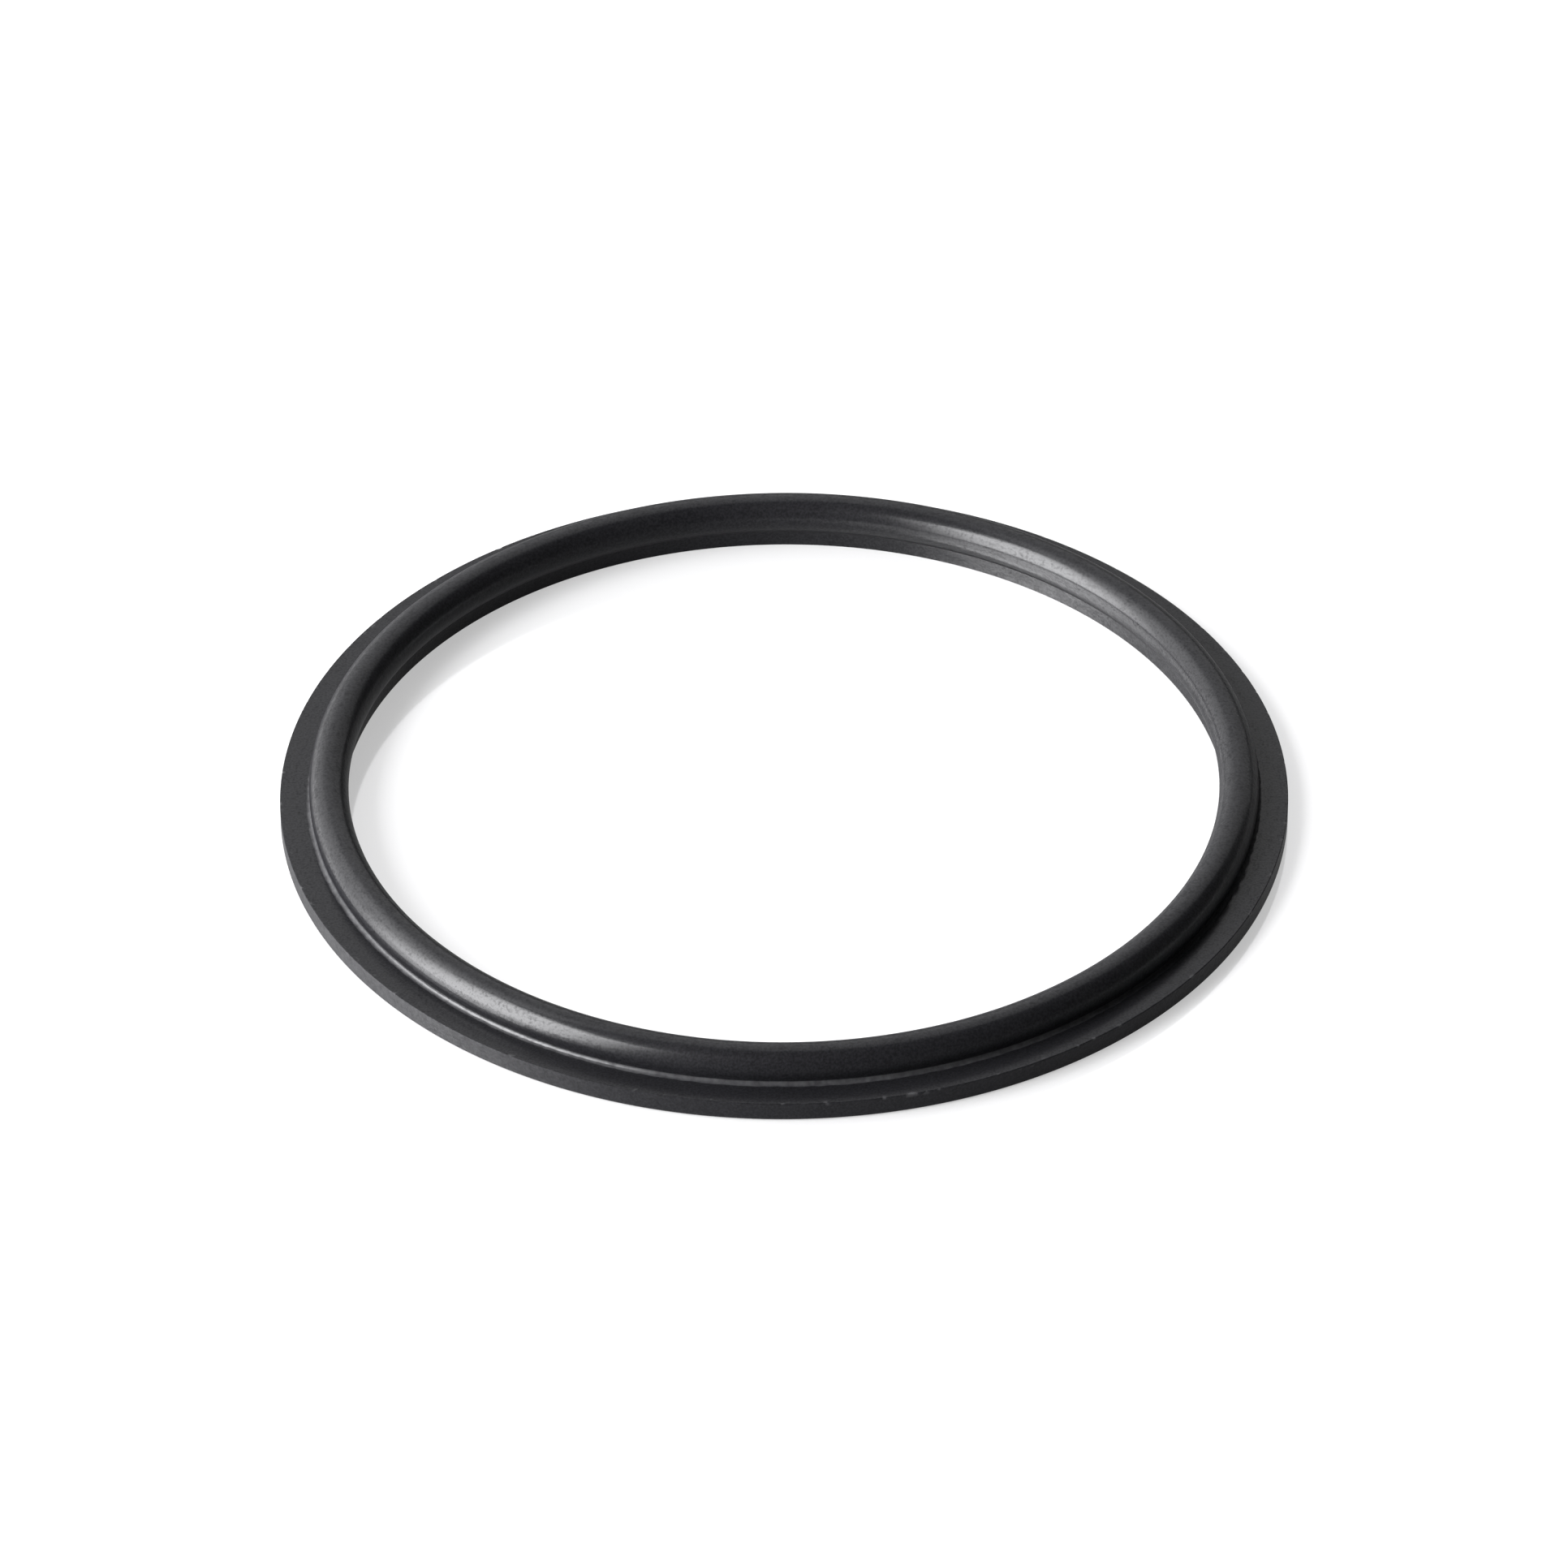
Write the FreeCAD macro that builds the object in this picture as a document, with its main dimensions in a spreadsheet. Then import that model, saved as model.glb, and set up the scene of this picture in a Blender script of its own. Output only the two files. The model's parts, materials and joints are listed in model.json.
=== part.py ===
import FreeCAD, Part
import math
import os
import Sketcher

# Bottom bracket seal, a single ring of moulded black rubber, lying on its flat flange.
# Section, from the axis outwards: a short straight inner wall, a round bead that stands on the
# inner edge of the flange and bulges a little inside that wall, a sharp crease at the bead's
# outer foot, then the bare flange with its square rim. Lengths are millimetres, Z is the axis.

os.makedirs("parts", exist_ok=True)
doc = FreeCAD.newDocument("bottom_bracket_seal")

# Driving sizes
SIZES = [
    ("bore_radius", 18.9, "inner wall of the flange"),
    ("base_width", 2.6, "flange, from the inner wall to the rim"),
    ("flange_thick", 0.9, "flange, underside to top face"),
    ("bead_radius", 0.85, "round section of the bead"),
    ("bead_inset", 0.5, "bead's centre, outwards from the inner wall"),
    ("bead_rise", 0.52, "bead's centre, above the flange's top face"),
    ("break_round", 0.1, "hollow between the inner wall and the underside of the bead"),
    ("rim_foot_bevel", 0.12, "lower edge of the rim, eased where it meets the cup"),
]
sheet = doc.addObject("Spreadsheet::Sheet", "sizes")
for row, (alias, value, meaning) in enumerate(SIZES, start=1):
    sheet.set(f"A{row}", alias)
    sheet.set(f"B{row}", str(value))
    sheet.set(f"C{row}", meaning)
    sheet.setAlias(f"B{row}", alias)
doc.recompute()

# Seal ring: one solid, so one body
ring = doc.addObject("PartDesign::Body", "seal_ring")
ring.Label = "seal_ring"

# Section, on the body's XZ plane, where sketch x is the radius and sketch y the height
section = ring.newObject("Sketcher::SketchObject", "section")
xz_plane = next(f for f in ring.Origin.OriginFeatures if f.Role == "XZ_Plane")
section.AttachmentSupport = (xz_plane, [""])
section.MapMode = "FlatFace"


def line(start, end):
    """Adds a straight stretch to the section and gives its number there."""
    return section.addGeometry(Part.LineSegment(FreeCAD.Vector(*start, 0), FreeCAD.Vector(*end, 0)))


def arc(centre, radius, start_angle, end_angle):
    """Adds a round stretch, counterclockwise between two angles, and gives its number there."""
    circle = Part.Circle(FreeCAD.Vector(*centre, 0), FreeCAD.Vector(0, 0, 1), radius)
    return section.addGeometry(Part.ArcOfCircle(circle, start_angle, end_angle))


def join(kind, one, one_end, other, other_end):
    """Joins two stretches at their ends, as a corner or as a smooth run."""
    section.addConstraint(Sketcher.Constraint(kind, one, one_end, other, other_end))


def hold(size, kind, *points):
    """Binds one size of the section to the cell of that name in the sheet."""
    index = section.addConstraint(Sketcher.Constraint(kind, *points, getattr(sheet, size)))
    section.renameConstraint(index, size)
    section.setExpression(f"Constraints.{size}", f"sizes.{size}")


# Corners of the flange, and the round stretches' centres: the hollow touches the bead from outside
wall = sheet.bore_radius
rim = wall + sheet.base_width
top = sheet.flange_thick
bead_x = wall + sheet.bead_inset
bead_y = top + sheet.bead_rise
crease_angle = -math.asin(sheet.bead_rise / sheet.bead_radius)
crease_x = bead_x + sheet.bead_radius * math.cos(crease_angle)
break_reach = sheet.bead_inset + sheet.break_round
break_drop = math.sqrt((sheet.bead_radius + sheet.break_round) ** 2 - break_reach ** 2)
break_angle = math.atan2(break_drop, break_reach)
break_y = bead_y - break_drop

# The outline runs counterclockwise from the inner lower corner
underside = line((wall, 0), (rim, 0))
rim_face = line((rim, 0), (rim, top))
flange_top = line((rim, top), (crease_x, top))
bead = arc((bead_x, bead_y), sheet.bead_radius, crease_angle, math.pi + break_angle)
wall_break = arc((wall - sheet.break_round, break_y), sheet.break_round, 0, break_angle)
inner_wall = line((wall, break_y), (wall, 0))

START, END, MIDDLE = range(1, 4)
AXIS_ORIGIN = (-1, START)
join("Coincident", underside, END, rim_face, START)
join("Coincident", rim_face, END, flange_top, START)
join("Coincident", flange_top, END, bead, START)
join("Tangent", bead, END, wall_break, END)
join("Tangent", wall_break, START, inner_wall, START)
join("Coincident", inner_wall, END, underside, START)
section.addConstraint(Sketcher.Constraint("Horizontal", underside))
section.addConstraint(Sketcher.Constraint("Horizontal", flange_top))
section.addConstraint(Sketcher.Constraint("Vertical", rim_face))
section.addConstraint(Sketcher.Constraint("Vertical", inner_wall))
section.addConstraint(Sketcher.Constraint("PointOnObject", underside, START, -1))
hold("bore_radius", "DistanceX", *AXIS_ORIGIN, underside, START)
hold("base_width", "DistanceX", underside, START, underside, END)
hold("flange_thick", "DistanceY", rim_face, START, rim_face, END)
hold("bead_inset", "DistanceX", underside, START, bead, MIDDLE)
hold("bead_rise", "DistanceY", flange_top, END, bead, MIDDLE)
hold("bead_radius", "Radius", bead)
hold("break_round", "Radius", wall_break)

# Moulding: the section turned once round the axis
moulding = ring.newObject("PartDesign::Revolution", "moulding")
moulding.Profile = section
moulding.ReferenceAxis = (section, ["V_Axis"])
moulding.Angle = 360
doc.recompute()

# Rim foot: the widest circle of the underside is bevelled
circles = [
    (round(edge.Curve.Center.z, 6), -edge.Curve.Radius, f"Edge{number}")
    for number, edge in enumerate(moulding.Shape.Edges, start=1)
    if isinstance(edge.Curve, Part.Circle)
]
rim_foot = ring.newObject("PartDesign::Chamfer", "rim_foot")
rim_foot.Base = (moulding, [min(circles)[-1]])
rim_foot.setExpression("Size", "sizes.rim_foot_bevel")
ring.Tip = rim_foot
ring.Placement = FreeCAD.Placement()
doc.recompute()

# Nothing is written unless every feature built and the ring is one sound solid
failed = [item.Name for item in doc.Objects if {"Invalid", "Error"} & set(item.State)]
if failed:
    raise RuntimeError("features that did not build: " + ", ".join(failed))
if ring.Shape.isNull() or not ring.Shape.isValid() or len(ring.Shape.Solids) != 1:
    raise RuntimeError("the seal ring is not one valid solid")
ring.Shape.exportStep("parts/seal_ring.step")
box = ring.Shape.optimalBoundingBox()
print(f"seal_ring: {box.XLength:.3f} x {box.YLength:.3f} x {box.ZLength:.3f} mm, {ring.Shape.Volume:.2f} mm3")
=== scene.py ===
import json
import math

import bmesh
import bpy
from mathutils import Matrix, Vector, noise


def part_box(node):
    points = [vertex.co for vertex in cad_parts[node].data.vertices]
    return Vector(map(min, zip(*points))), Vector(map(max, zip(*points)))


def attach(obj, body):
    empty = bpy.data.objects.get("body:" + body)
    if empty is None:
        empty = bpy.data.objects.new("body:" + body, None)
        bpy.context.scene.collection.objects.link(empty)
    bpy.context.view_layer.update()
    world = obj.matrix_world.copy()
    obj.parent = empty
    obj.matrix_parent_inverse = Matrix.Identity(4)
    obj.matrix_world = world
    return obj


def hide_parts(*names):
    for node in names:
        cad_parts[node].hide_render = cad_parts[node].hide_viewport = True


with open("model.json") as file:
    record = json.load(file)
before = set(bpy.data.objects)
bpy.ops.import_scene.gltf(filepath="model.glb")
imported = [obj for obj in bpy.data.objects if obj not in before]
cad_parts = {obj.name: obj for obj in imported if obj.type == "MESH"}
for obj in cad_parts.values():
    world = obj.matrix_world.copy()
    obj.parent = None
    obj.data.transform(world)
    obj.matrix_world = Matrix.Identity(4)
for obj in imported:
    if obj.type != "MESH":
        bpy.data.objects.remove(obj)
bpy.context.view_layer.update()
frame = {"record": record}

# Seal ring: one moulding of black rubber. A flat flange with a square rim carries a round bead on
# its inner edge. It is pressed between two mould plates that part at the bead's foot and at the
# rim's top edge, which leaves a ragged fillet at the one and small nicks at the other.
MM = 0.001
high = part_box("seal_ring")[1]
mounts = {mount["name"]: mount for mount in frame["record"]["mounts"]}
bore_radius = mounts["base_bore"]["dims"]["r_mm"] * MM
rim_radius = high.x
flange_thick = 0.9 * MM
bead_radius = 0.85 * MM
bead_inset = 0.5 * MM
foot_fillet = 0.15 * MM
break_round = 0.1 * MM
foot_bevel = 0.12 * MM
edge_round = 0.035 * MM
torn_reach = 0.2 * MM


def run_to(outline, tip, radius, height, steps=4):
    """Draws a straight stretch of the section from its tip in equal steps, and gives the new tip."""
    start = tip.co.copy()
    end = Vector((radius, 0, height))
    for step in range(1, steps + 1):
        tip = bmesh.ops.extrude_vert_indiv(outline, verts=[tip])["verts"][0]
        tip.co = start.lerp(end, step / steps)
    return tip


def turn_about(outline, tip, centre, degrees, steps):
    """Draws a round stretch of the section from its tip, counterclockwise, and gives the new tip."""
    turned = bmesh.ops.spin(
        outline, geom=[tip], cent=(centre.x, 0, centre.y), axis=(0, -1, 0),
        angle=math.radians(degrees), steps=steps,
    )
    return next(part for part in turned["geom_last"] if isinstance(part, bmesh.types.BMVert))


# The two hollows touch the bead from outside, so their centres lie one radius beyond its own
bead_centre = Vector((bore_radius + bead_inset, high.z - bead_radius))
fillet_top = flange_thick + foot_fillet
fillet_slope = math.asin((bead_centre.y - fillet_top) / (bead_radius + foot_fillet))
fillet_reach = (bead_radius + foot_fillet) * math.cos(fillet_slope)
fillet_centre = Vector((bead_centre.x + fillet_reach, fillet_top))
break_slope = math.acos((bead_inset + break_round) / (bead_radius + break_round))
break_drop = (bead_radius + break_round) * math.sin(break_slope)
break_centre = Vector((bore_radius - break_round, bead_centre.y - break_drop))

# The section starts at the inner wall's lower corner, and is finer where the mould plates part
fillet_steps = 7
bead_steps = 34
break_steps = 4
wall_steps = 3
corner_steps = 3
ring = bmesh.new()
wall_foot = ring.verts.new((bore_radius, 0, 0))
bevel_foot = run_to(ring, wall_foot, rim_radius - foot_bevel, 0)
bevel_head = run_to(ring, bevel_foot, rim_radius, foot_bevel, steps=1)
tip = run_to(ring, bevel_head, rim_radius, flange_thick - torn_reach)
rim_edge = run_to(ring, tip, rim_radius, flange_thick)
tip = run_to(ring, rim_edge, rim_radius - torn_reach, flange_thick)
tip = run_to(ring, tip, fillet_centre.x + torn_reach, flange_thick)
tip = run_to(ring, tip, fillet_centre.x, flange_thick)
tip = turn_about(ring, tip, fillet_centre, -90 - math.degrees(fillet_slope), fillet_steps)
tip = turn_about(ring, tip, bead_centre, 180 + math.degrees(fillet_slope + break_slope), bead_steps)
tip = turn_about(ring, tip, break_centre, -math.degrees(break_slope), break_steps)
tip = run_to(ring, tip, bore_radius, 2 * edge_round, wall_steps)
bmesh.ops.contextual_create(ring, geom=[tip, wall_foot])
bmesh.ops.bevel(
    ring, geom=[wall_foot, bevel_foot, bevel_head, rim_edge], offset=edge_round, segments=corner_steps,
    profile=0.5, affect="VERTICES", material=-1,
)

# A sector of the ring is spun and then copied round, which is far quicker than one full spin
sectors = 16
sector_steps = 40
bmesh.ops.spin(
    ring, geom=ring.verts[:] + ring.edges[:], cent=(0, 0, 0), axis=(0, 0, 1),
    angle=math.tau / sectors, steps=sector_steps,
)
bmesh.ops.spin(
    ring, geom=ring.verts[:] + ring.edges[:] + ring.faces[:], cent=(0, 0, 0), axis=(0, 0, 1),
    angle=math.tau, steps=sectors, use_duplicate=True,
)
bmesh.ops.remove_doubles(ring, verts=ring.verts, dist=edge_round / 100)

# Round the fillet and the rim's top edge each step is cut in three, for what the parting left there
hair = edge_round / 10
slack = 1.001
fillet_foot = Vector((fillet_centre.x, flange_thick))
rim_corner = Vector((rim_radius, flange_thick))
round_steps = [
    edge for edge in ring.edges
    if abs(edge.verts[0].co.z - edge.verts[1].co.z) < hair
    and abs(edge.verts[0].co.xy.length - edge.verts[1].co.xy.length) < hair
]
torn_steps = []
for edge in round_steps:
    place = Vector((edge.verts[0].co.xy.length, edge.verts[0].co.z))
    if min((place - fillet_foot).length, (place - rim_corner).length) < torn_reach * slack:
        torn_steps.append(edge)
bmesh.ops.subdivide_edges(ring, edges=torn_steps, cuts=2, use_single_edge=True, use_grid_fill=True)
bmesh.ops.recalc_face_normals(ring, faces=ring.faces)
for face in ring.faces:
    face.smooth = True


def on_bead(place):
    """Says whether a place on the section, as radius and height, lies on the bead's round."""
    from_bead = place - bead_centre
    return from_bead.length < bead_radius * slack and from_bead.y > -bead_radius / 2


def in_fillet(place):
    """Says whether a place on the section lies in the crease's fillet or at its foot."""
    at_foot = (place - fillet_foot).length < torn_reach / 5
    beside_foot = fillet_foot.x - foot_fillet < place.x < fillet_foot.x
    return at_foot or beside_foot and flange_thick < place.y < fillet_top


# The rim's top edge is nicked, the bead waves a little, and the fillet's foot is ragged with a low burr
nick_length = 0.3 * MM
nick_depth = 0.04 * MM
nick_rarity = 0.4
wave_length = 5 * MM
wave_depth = 0.012 * MM
rag_length = 0.35 * MM
rag_width = 0.04 * MM
burr_height = 0.02 * MM
up = Vector((0, 0, 1))


def nicked(spot):
    """Says how deep the rim is nicked at a spot: mostly 0, and never more than 1."""
    return max(0.0, noise.noise(spot / nick_length) - nick_rarity)


def as_moulded(spot, place):
    """Moves a spot of the drawn ring, at a place on the section, to where the moulding left it."""
    out = Vector((spot.x, spot.y, 0)).normalized()
    from_foot = (place - fillet_foot).length / torn_reach
    from_corner = (place - rim_corner).length / torn_reach
    if on_bead(place):
        wave = (1 + noise.noise(spot / wave_length)) / 2
        inward = -(place - bead_centre).normalized() * wave * wave_depth
        spot = spot + out * inward.x + up * inward.y
    if from_foot < 1:
        rag = noise.noise(spot / rag_length) * rag_width
        burr = max(0.0, noise.noise(spot / rag_length + up)) * burr_height
        spot = spot + (out * rag + up * burr) * (1 - from_foot)
    if from_corner < 1:
        spot = spot - (out + up) * nicked(spot) * nick_depth * (1 - from_corner)
    return spot


# One mask says how torn the skin is: at the nicks, and in the fillet, which is partly torn skin and
# partly painted light, paler all round to lift the crease out of its shade and paler still on the side
# that faces the key, as a painted highlight. The rim's face is paler where it faces the key, also a
# painted highlight.
# The other says how polished it is: the flange and the bead's crown, and where the ring is scuffed
# outside and rubbed inside, lower down too. Angles on the bead run from its outer side over the crown.
# These azimuths face the key lamp. Towards them the fillet and the rim's face are painted paler, which
# is painted light, and the polish leans too.
key_lit_side = math.radians(232)
key_lit_rim_side = math.radians(212)
rubbed_side = math.radians(52)
patch_sharpness = 8
nick_paleness = 0.7
nick_contrast = 6
# The fillet's paleness is partly torn skin and partly painted light: its base lifts the crease out of
# its shade, and its lean paints a highlight on the key's side.
fillet_tear_and_painted_fill = 0.35
fillet_painted_highlight_lean = 0.3
rim_tear = 0.03
# The rim face's paleness on the key's side is a painted highlight.
painted_rim_highlight = 0.2
scuffed_gloss = 0.3
rubbed_gloss = 0.6
polish_starts = math.radians(20)
polish_ends = math.radians(165)
polish_ramp = math.radians(22)
polish_askew = math.radians(35)
worn_reach = math.radians(50)


def patch(azimuth, middle):
    """Says how strongly a worn stretch of the ring shows at an azimuth: 1 at its middle, then less."""
    return max(0.0, math.cos(azimuth - middle)) ** patch_sharpness


def torn_and_painted_light_share(spot, place, azimuth):
    """Says how torn the skin is at a spot, with the light painted on the fillet and the rim's key side,
    from 0 to 1.
    """
    from_corner = (place - rim_corner).length / torn_reach
    share = 0.0
    if from_corner < 1:
        share = min(nick_paleness, nicked(spot) * nick_contrast) * (1 - from_corner)
    # Painted light: the fillet is paler all round against its shade, and paler still on the key's side
    # as a painted highlight
    if in_fillet(place):
        share = fillet_tear_and_painted_fill + fillet_painted_highlight_lean * math.cos(azimuth - key_lit_side)
    # Painted highlight: the rim's face is paler where it faces the key
    if place.x > rim_radius - edge_round / 2:
        share = max(share, rim_tear + painted_rim_highlight * patch(azimuth, key_lit_rim_side))
    return share


def polished_share(place, azimuth):
    """Says how polished the skin is at a place on the section and an azimuth, from 0 to 1."""
    lean = math.cos(azimuth - key_lit_side)
    scuffed = patch(azimuth, key_lit_rim_side)
    rubbed = patch(azimuth, rubbed_side)
    if place.x > rim_radius - edge_round / 2:
        return scuffed_gloss * scuffed
    if on_bead(place):
        from_bead = place - bead_centre
        turn = math.pi - math.atan2(from_bead.y, -from_bead.x)
        first = polish_starts + polish_askew * max(0.0, -lean) - worn_reach * scuffed
        last = polish_ends - polish_askew * max(0.0, lean) + worn_reach * rubbed
        rising = (turn - first) / polish_ramp
        falling = (last - turn) / polish_ramp
        least = rubbed_gloss * rubbed if turn > math.pi / 2 else 0.0
        return max(least, min(1.0, rising, falling))
    if place.x < bore_radius + hair:
        return rubbed_gloss * rubbed
    if in_fillet(place):
        return max(0.0, lean)
    on_flange = place.y > flange_thick - hair and place.x < rim_radius - edge_round
    return 1.0 if on_flange else 0.0


# This mask carries torn skin and painted light alike
torn_and_lit_layer = ring.verts.layers.float.new("torn_skin_and_painted_light")
polished = ring.verts.layers.float.new("polished_skin")
for vert in ring.verts:
    place = Vector((vert.co.xy.length, vert.co.z))
    azimuth = math.atan2(vert.co.y, vert.co.x)
    vert[torn_and_lit_layer] = torn_and_painted_light_share(vert.co, place, azimuth)
    vert[polished] = polished_share(place, azimuth)
    vert.co = as_moulded(vert.co, place)

seal_mesh = bpy.data.meshes.new("moulded_seal_ring")
ring.to_mesh(seal_mesh)
ring.free()
seal_ring = bpy.data.objects.new("moulded_seal_ring", seal_mesh)
bpy.context.collection.objects.link(seal_ring)
seal_ring.modifiers.new("flats stay flat", "WEIGHTED_NORMAL")
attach(seal_ring, "root")
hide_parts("seal_ring")


# Its rubber: near-black and dull, under a clear coat that stands for the polish. Grain, mottle, smears
# of bloom and fine streaks along the ring, as the rubber flowed in the mould, vary the coat's weight.
# Torn skin is mottled and greyer, and so is the light painted on the fillet and on the rim's key side.
def add(tree, kind, values=None, **settings):
    """Adds one node to a tree, with its settings and the fixed values of its inputs."""
    node = tree.nodes.new(kind)
    for name, setting in settings.items():
        setattr(node, name, setting)
    for name, value in (values or {}).items():
        node.inputs[name].default_value = value
    return node


grain_per_metre = 10000
mottle_per_metre = 3000
smears_per_metre = 260
rubber = bpy.data.materials.new("pressed_rubber")
rubber.use_nodes = True
tree = rubber.node_tree
link = tree.links.new
surface = tree.nodes["Principled BSDF"]
surface.inputs["Specular IOR Level"].default_value = 0.1
surface.inputs["Coat Roughness"].default_value = 0.2
where = add(tree, "ShaderNodeTexCoord")
torn_and_lit_mask = add(tree, "ShaderNodeAttribute", attribute_name="torn_skin_and_painted_light")
polish_mask = add(tree, "ShaderNodeAttribute", attribute_name="polished_skin")
grain = add(tree, "ShaderNodeTexNoise", {"Scale": grain_per_metre, "Detail": 2})
mottle = add(tree, "ShaderNodeTexNoise", {"Scale": mottle_per_metre, "Detail": 3})
smears = add(tree, "ShaderNodeTexNoise", {"Scale": smears_per_metre, "Detail": 4, "Distortion": 0.6})
for pattern in (grain, mottle, smears):
    link(where.outputs["Object"], pattern.inputs["Vector"])

# The streaks come from a pattern that is long round the ring and short across its section
streaks_per_metre = 8000
streak_circle = 9
flat = add(tree, "ShaderNodeVectorMath", {1: (1, 1, 0)}, operation="MULTIPLY")
heading = add(tree, "ShaderNodeVectorMath", operation="NORMALIZE")
around = add(tree, "ShaderNodeVectorMath", {"Scale": streak_circle}, operation="SCALE")
across = add(tree, "ShaderNodeVectorMath", operation="LENGTH")
across_scaled = add(tree, "ShaderNodeMath", {1: streaks_per_metre}, operation="MULTIPLY")
upright = add(tree, "ShaderNodeVectorMath", {1: (0, 0, streaks_per_metre)}, operation="MULTIPLY")
drawn_out = add(tree, "ShaderNodeVectorMath", operation="ADD")
streaks = add(tree, "ShaderNodeTexNoise", {"Scale": 1, "Detail": 2}, noise_dimensions="4D")
link(where.outputs["Object"], flat.inputs[0])
link(flat.outputs[0], heading.inputs[0])
link(heading.outputs[0], around.inputs[0])
link(flat.outputs[0], across.inputs[0])
link(across.outputs["Value"], across_scaled.inputs[0])
link(where.outputs["Object"], upright.inputs[0])
link(around.outputs[0], drawn_out.inputs[0])
link(upright.outputs[0], drawn_out.inputs[1])
link(drawn_out.outputs[0], streaks.inputs["Vector"])
link(across_scaled.outputs[0], streaks.inputs["W"])

# Smears and grain of bloom lighten the black, and torn skin and the painted light on the fillet and rim
# have colours of their own
black = (0.005, 0.005, 0.006, 1)
bloom = (0.018, 0.018, 0.0205, 1)
# The torn colours also make the painted light on the fillet and on the rim's key side
torn_and_lit_dark = (0.01, 0.01, 0.012, 1)
torn_and_lit_pale = (0.16, 0.16, 0.165, 1)
grain_share = 0.6
colour = add(tree, "ShaderNodeMix", {"A": black, "B": bloom}, data_type="RGBA")
torn_and_lit_tone = add(tree, "ShaderNodeMix", {"A": torn_and_lit_dark, "B": torn_and_lit_pale}, data_type="RGBA")
torn_and_lit_colour = add(tree, "ShaderNodeMix", data_type="RGBA")
grain_shade = add(tree, "ShaderNodeMapRange", {"From Min": 0.35, "From Max": 0.65})
bloomed = add(tree, "ShaderNodeMix", {"Factor": grain_share})
link(grain.outputs["Fac"], grain_shade.inputs["Value"])
link(smears.outputs["Fac"], bloomed.inputs["A"])
link(grain_shade.outputs["Result"], bloomed.inputs["B"])
link(bloomed.outputs["Result"], colour.inputs["Factor"])
link(mottle.outputs["Fac"], torn_and_lit_tone.inputs["Factor"])
link(colour.outputs["Result"], torn_and_lit_colour.inputs["A"])
link(torn_and_lit_tone.outputs["Result"], torn_and_lit_colour.inputs["B"])
link(torn_and_lit_mask.outputs["Fac"], torn_and_lit_colour.inputs["Factor"])
link(torn_and_lit_colour.outputs["Result"], surface.inputs["Base Color"])

clean_roughness = 0.46
smeared_roughness = 0.56
dullness = add(tree, "ShaderNodeMix", {"A": clean_roughness, "B": smeared_roughness})
link(smears.outputs["Fac"], dullness.inputs["Factor"])
link(dullness.outputs["Result"], surface.inputs["Roughness"])

# The coat is thinner under smears, varies with each pattern, and is veiled where it is seen edge-on
clean_gloss = 1.2
smeared_gloss = 0.9
veil_starts = 0.45
veil_ends = 0.8
gloss = add(tree, "ShaderNodeMix", {"A": clean_gloss, "B": smeared_gloss})
link(smears.outputs["Fac"], gloss.inputs["Factor"])
gloss_so_far = gloss.outputs["Result"]
for pattern, least, most in ((streaks, 0.8, 1.15), (mottle, 0.8, 1.2), (grain, 0.6, 1.4)):
    span = {"From Min": 0.3, "From Max": 0.7, "To Min": least, "To Max": most}
    share = add(tree, "ShaderNodeMapRange", span)
    product = add(tree, "ShaderNodeMath", operation="MULTIPLY")
    link(pattern.outputs["Fac"], share.inputs["Value"])
    link(gloss_so_far, product.inputs[0])
    link(share.outputs["Result"], product.inputs[1])
    gloss_so_far = product.outputs[0]
facing = add(tree, "ShaderNodeLayerWeight", {"Blend": 0.5})
veil_span = {"From Min": veil_starts, "From Max": veil_ends, "To Min": 1, "To Max": 0}
veil = add(tree, "ShaderNodeMapRange", veil_span)
veiled = add(tree, "ShaderNodeMath", operation="MULTIPLY")
masked = add(tree, "ShaderNodeMath", operation="MULTIPLY", use_clamp=True)
link(facing.outputs["Facing"], veil.inputs["Value"])
link(gloss_so_far, veiled.inputs[0])
link(veil.outputs["Result"], veiled.inputs[1])
link(veiled.outputs[0], masked.inputs[0])
link(polish_mask.outputs["Fac"], masked.inputs[1])
link(masked.outputs[0], surface.inputs["Coat Weight"])

mottle_depth = 0.015 * MM
grain_depth = 0.01 * MM
mottled = add(tree, "ShaderNodeBump", {"Distance": mottle_depth})
grained = add(tree, "ShaderNodeBump", {"Distance": grain_depth})
link(mottle.outputs["Fac"], mottled.inputs["Height"])
link(grain.outputs["Fac"], grained.inputs["Height"])
link(mottled.outputs["Normal"], grained.inputs["Normal"])
link(grained.outputs["Normal"], surface.inputs["Normal"])
seal_ring.data.materials.append(rubber)

# Floor: a plain pale tabletop with a glossy lacquer, far larger than the seal, out to the horizon.
# Lamps light it, and a share of white that only the view and reflections see brings it to white.
floor_size = 8.0
pale_paint = (0.75, 0.75, 0.75, 1)
unlit = (0, 0, 0, 1)
share_of_white = (0.47, 0.47, 0.47, 1)
floor_mesh = bpy.data.meshes.new("tabletop")
tabletop = bmesh.new()
bmesh.ops.create_grid(tabletop, x_segments=1, y_segments=1, size=floor_size / 2)
tabletop.to_mesh(floor_mesh)
tabletop.free()
floor = bpy.data.objects.new("tabletop", floor_mesh)
bpy.context.collection.objects.link(floor)
pale = bpy.data.materials.new("pale_tabletop")
pale.use_nodes = True
tree = pale.node_tree
link = tree.links.new
paint = tree.nodes["Principled BSDF"]
paint.inputs["Base Color"].default_value = pale_paint
paint.inputs["Roughness"].default_value = 0.1
paint.inputs["IOR"].default_value = 2.4
paint.inputs["Specular IOR Level"].default_value = 1.0
paint.inputs["Emission Strength"].default_value = 1.0
ray = add(tree, "ShaderNodeLightPath")
seen = add(tree, "ShaderNodeMath", operation="MAXIMUM")
seen_or_passed = add(tree, "ShaderNodeMath", operation="MAXIMUM")
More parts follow.
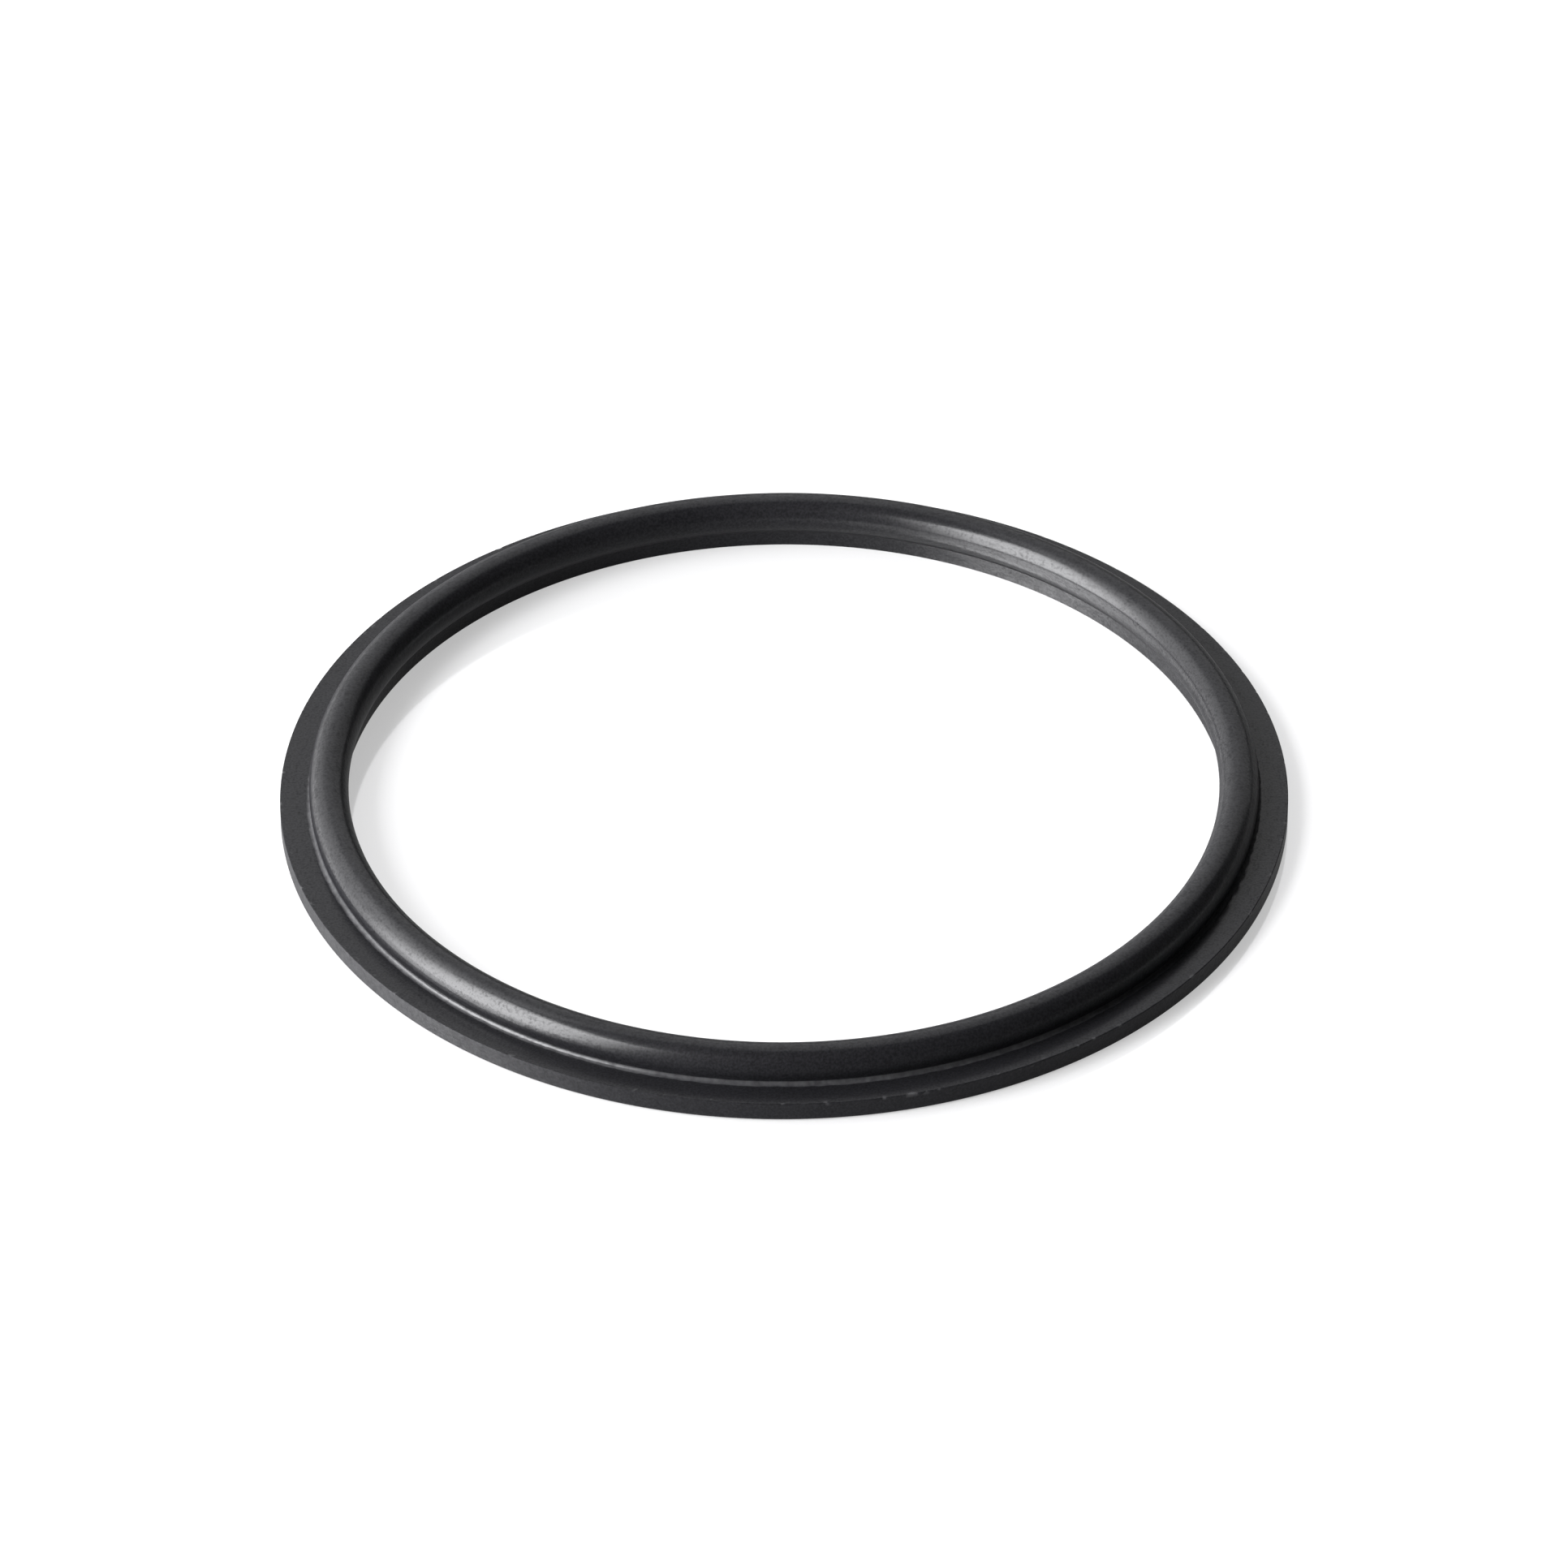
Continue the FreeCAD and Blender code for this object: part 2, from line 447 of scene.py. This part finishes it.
whitened = add(tree, "ShaderNodeMix", {"A": unlit, "B": share_of_white}, data_type="RGBA")
link(ray.outputs["Is Camera Ray"], seen.inputs[0])
link(ray.outputs["Is Glossy Ray"], seen.inputs[1])
link(seen.outputs[0], seen_or_passed.inputs[0])
link(ray.outputs["Is Transmission Ray"], seen_or_passed.inputs[1])
link(seen_or_passed.outputs[0], whitened.inputs["Factor"])
link(whitened.outputs["Result"], paint.inputs["Emission Color"])
floor.data.materials.append(pale)

# Studio lamps: soft boxes that stand upright round the table. The key at the left is made of three and
# fades to both sides, two weaker boxes beside it fade towards the back, and a faint one stands behind.
lamp_tint = (0.985, 0.985, 1.0)
lamp_distance = 0.6


def soft_box(name, first, last, foot, head, brightness, faded=1.0):
    """Stands a lamp between two azimuths, 0 being right and 90 behind, and two elevations.

    It is as bright as written at its first azimuth, and faded by a factor at its last."""
    floor_angle = math.radians((first + last) / 2)
    foot_height = lamp_distance * math.tan(math.radians(foot))
    head_height = lamp_distance * math.tan(math.radians(head))
    lamp = bpy.data.lights.new(name, "AREA")
    lamp.color = lamp_tint
    lamp.shape = "RECTANGLE"
    lamp.size = 2 * lamp_distance * math.tan(math.radians(abs(last - first) / 2))
    lamp.size_y = head_height - foot_height
    lamp.energy = brightness * math.pi * lamp.size * lamp.size_y
    lamp.use_nodes = True
    link = lamp.node_tree.links.new
    across = add(lamp.node_tree, "ShaderNodeNewGeometry")
    split = add(lamp.node_tree, "ShaderNodeSeparateXYZ")
    ends = {"To Min": faded, "To Max": 1.0} if last < first else {"To Min": 1.0, "To Max": faded}
    fade = add(lamp.node_tree, "ShaderNodeMapRange", ends, interpolation_type="SMOOTHSTEP")
    link(across.outputs["Parametric"], split.inputs["Vector"])
    link(split.outputs["X"], fade.inputs["Value"])
    link(fade.outputs["Result"], lamp.node_tree.nodes["Emission"].inputs["Strength"])
    stood = bpy.data.objects.new(name, lamp)
    stood.matrix_world = (
        Matrix.Rotation(floor_angle, 4, "Z")
        @ Matrix.Translation((lamp_distance, 0, (foot_height + head_height) / 2))
        @ Matrix.Rotation(math.radians(90), 4, "Y")
        @ Matrix.Rotation(math.radians(90), 4, "Z")
    )
    stood.visible_camera = False
    bpy.context.collection.objects.link(stood)


soft_box("key_rise", 194, 166, 0, 57, 11, faded=0.35)
soft_box("key", 194, 212, 0, 54, 11)
soft_box("key_fade", 212, 241, 0, 51, 11, faded=0.0)
soft_box("side_fill", 166, 98, 0, 69, 1.8, faded=0.3)
soft_box("side_high", 165, 118, 32, 55, 0.7, faded=0.3)
soft_box("back_glow", 98, 45, 10, 76, 0.6, faded=0.6)

room_light = (0.03, 0.03, 0.03, 1)
world = bpy.data.worlds.new("studio")
world.use_nodes = True
world.node_tree.nodes["Background"].inputs["Color"].default_value = room_light
bpy.context.scene.world = world
bpy.context.scene.view_settings.view_transform = "Standard"

# Camera: a long lens half a metre away, looking down on the seal from the front. It is tilted and
# rolled by a fraction of a degree, which puts the seal where the picture has it.
view_distance = 0.5
view_elevation = math.radians(37.326)
view_tilt = math.radians(0.104)
view_roll = math.radians(-0.2485)
lens = bpy.data.cameras.new("studio_camera")
lens.sensor_width = 36
lens.lens = 268.73
camera = bpy.data.objects.new("studio_camera", lens)
camera.matrix_world = (
    Matrix.Rotation(-view_elevation, 4, "X")
    @ Matrix.Translation((0, -view_distance, 0))
    @ Matrix.Rotation(math.pi / 2 + view_tilt, 4, "X")
    @ Matrix.Rotation(view_roll, 4, "Z")
)
bpy.context.collection.objects.link(camera)
bpy.context.scene.camera = camera
